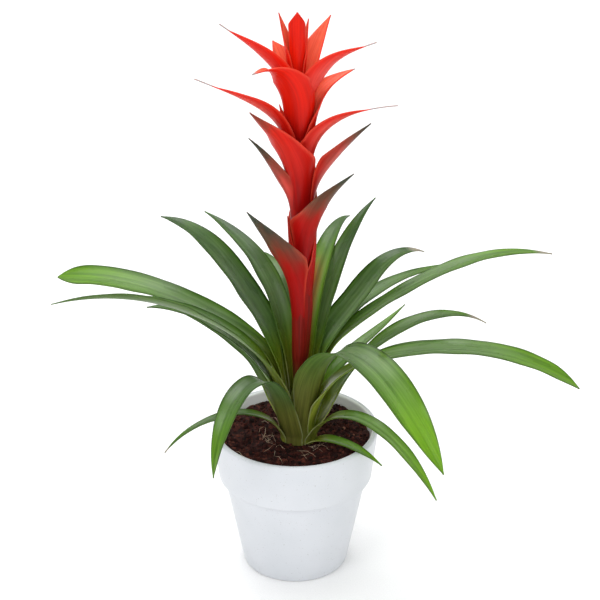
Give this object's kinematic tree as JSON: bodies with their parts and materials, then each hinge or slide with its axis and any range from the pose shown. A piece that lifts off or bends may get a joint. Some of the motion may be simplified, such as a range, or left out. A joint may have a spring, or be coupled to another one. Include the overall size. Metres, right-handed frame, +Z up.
{
  "type": "potted guzmania",
  "caption": "Potted guzmania with a rosette of arching strap leaves and an upright spike of red bracts, planted in soil in a round white glazed pot with a wide rim band.",
  "frame": {"origin": "centre of the pot's flat foot, on the surface it stands on", "axes": "+Z up along the pot's axis, -Y towards the front of the plant, +X to the right seen from the front"},
  "size_m": [0.4343, 0.2931, 0.496],
  "materials": {
    "pot_glaze": "smooth white glaze with a cool tint",
    "soil": "dark, moist, crumbly potting soil with bark and fibres",
    "rootstock": "dull green-brown plant stem",
    "leaf": "waxy dark green upper face, paler underside",
    "bract": "satin red, green to brown at the lower tips"
  },
  "bodies": {
    "root": {"pot": "pot_glaze", "soil": "soil", "rootstock": "rootstock", "leaf_01": "leaf", "leaf_02": "leaf", "leaf_03": "leaf", "leaf_04": "leaf", "leaf_05": "leaf", "leaf_06": "leaf", "leaf_07": "leaf", "leaf_08": "leaf", "leaf_09": "leaf", "leaf_10": "leaf", "leaf_11": "leaf", "leaf_12": "leaf", "leaf_13": "leaf", "leaf_14": "leaf", "leaf_15": "leaf", "leaf_16": "leaf", "leaf_17": "leaf", "leaf_18": "leaf", "leaf_19": "leaf", "leaf_20": "leaf", "leaf_21": "leaf", "leaf_22": "leaf", "flower_spike": "bract"}
  },
  "joints": []
}
